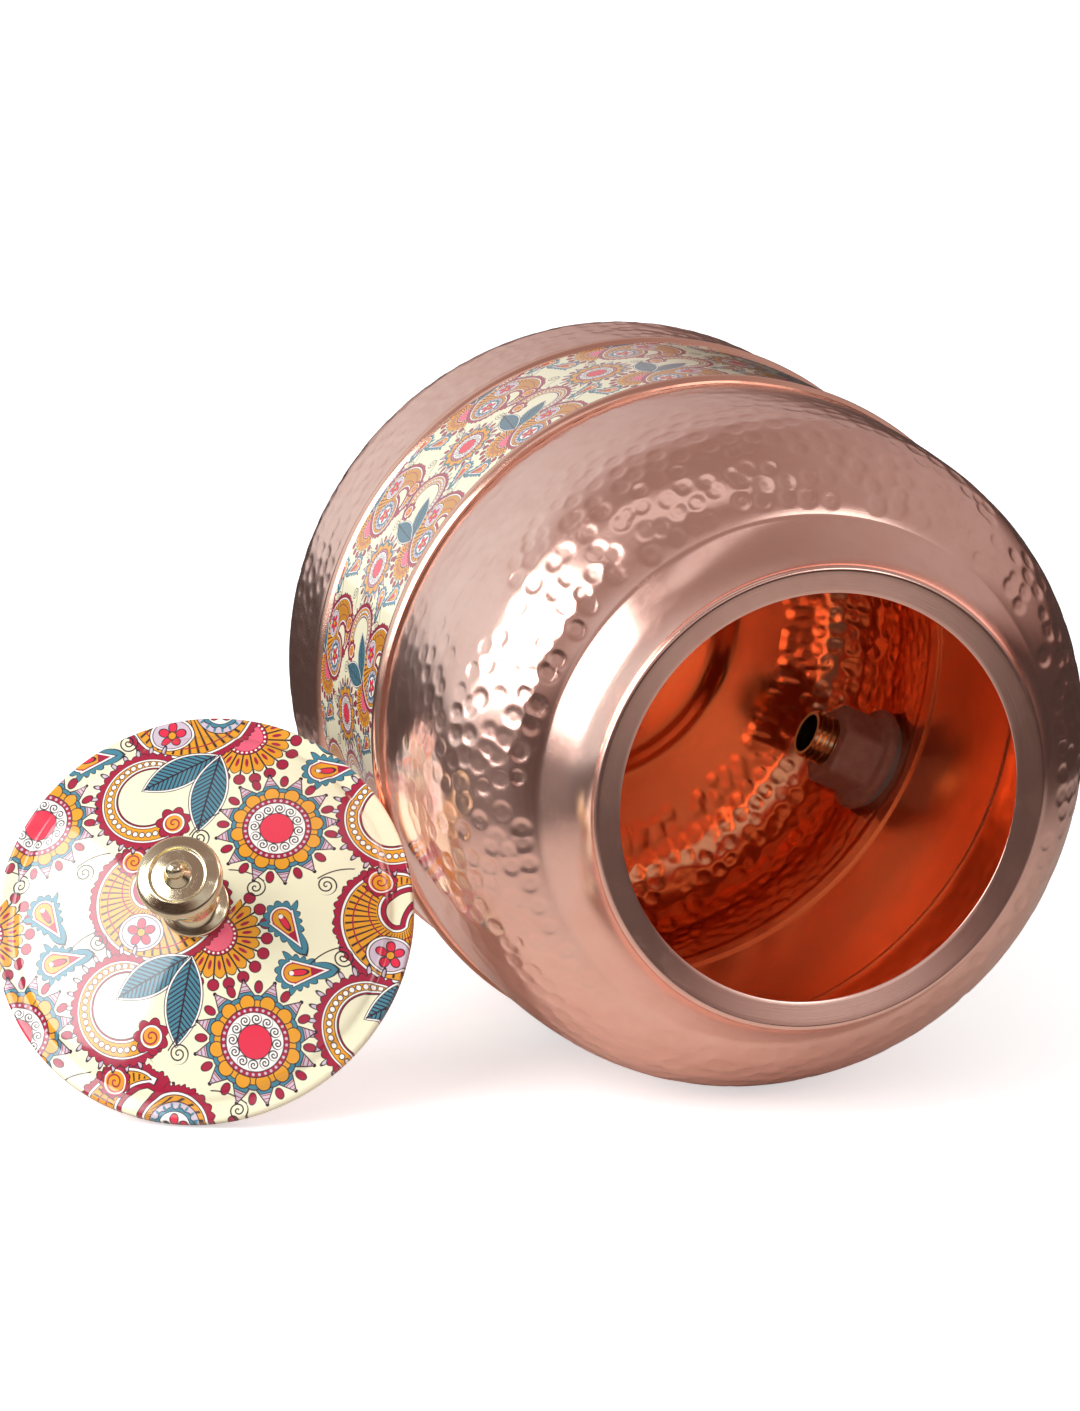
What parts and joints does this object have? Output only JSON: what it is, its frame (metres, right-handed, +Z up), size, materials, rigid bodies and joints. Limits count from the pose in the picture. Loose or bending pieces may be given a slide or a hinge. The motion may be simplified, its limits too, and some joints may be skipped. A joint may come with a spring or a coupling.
{
  "type": "copper water jug",
  "caption": "Hammered copper water jug lying on its side, with a printed band, a brass tap near the base and a loose printed lid with a brass knob leaning against it.",
  "frame": {"origin": "centre of the base's outer face, on the jug's axis", "axes": "+Y along the jug's axis, out of its base, so the mouth faces -Y; +Z up as the jug lies on its side; +X towards the tap's side, and the lid leans at -X"},
  "size_m": [0.359, 0.2271, 0.213],
  "materials": {
    "hammered_copper": "satin brushed copper, beaten with round flat-bottomed dimples",
    "plain_copper": "smooth satin copper",
    "inside_copper": "bare copper, deep orange inside the jug",
    "printed_lacquer": "glossy lacquer over a printed leaf and flower pattern on cream",
    "tap_brass": "pale satin brass",
    "knob_brass": "pale polished brass, slightly worn",
    "nut_plastic": "frosted grey-brown plastic",
    "silicone": "translucent silicone rubber",
    "seal_rubber": "black rubber",
    "screw_steel": "bright steel"
  },
  "bodies": {
    "vessel": {"lower_shell": "hammered_copper", "base_pan": "inside_copper", "belt_ring": "plain_copper", "band_print": "printed_lacquer", "upper_shell": "hammered_copper", "tap_body": "tap_brass", "gland_nut": "tap_brass", "outer_washer": "silicone", "inner_washer": "silicone", "retaining_nut": "nut_plastic"},
    "tap_valve": {"valve_plug": "tap_brass", "tap_lever": "tap_brass", "lever_screw": "screw_steel", "stem_seal": "seal_rubber"},
    "lid": {"lid_shell": "plain_copper", "lid_print": "printed_lacquer", "locating_ring": "plain_copper", "knob": "knob_brass", "knob_washer": "knob_brass", "knob_screw": "screw_steel"}
  },
  "joints": [
    {"name": "tap_lever", "type": "hinge", "parent": "vessel", "child": "tap_valve", "pos_m": [0.11102, -0.03, -0.05657], "axis": [0, 1, 0], "range_deg": [0, 90]},
    {"name": "lid_lift", "type": "slide", "parent": "vessel", "child": "lid", "axis": [-0.3901, -0.7337, 0.5563], "range_m": [0, 0.2]}
  ]
}
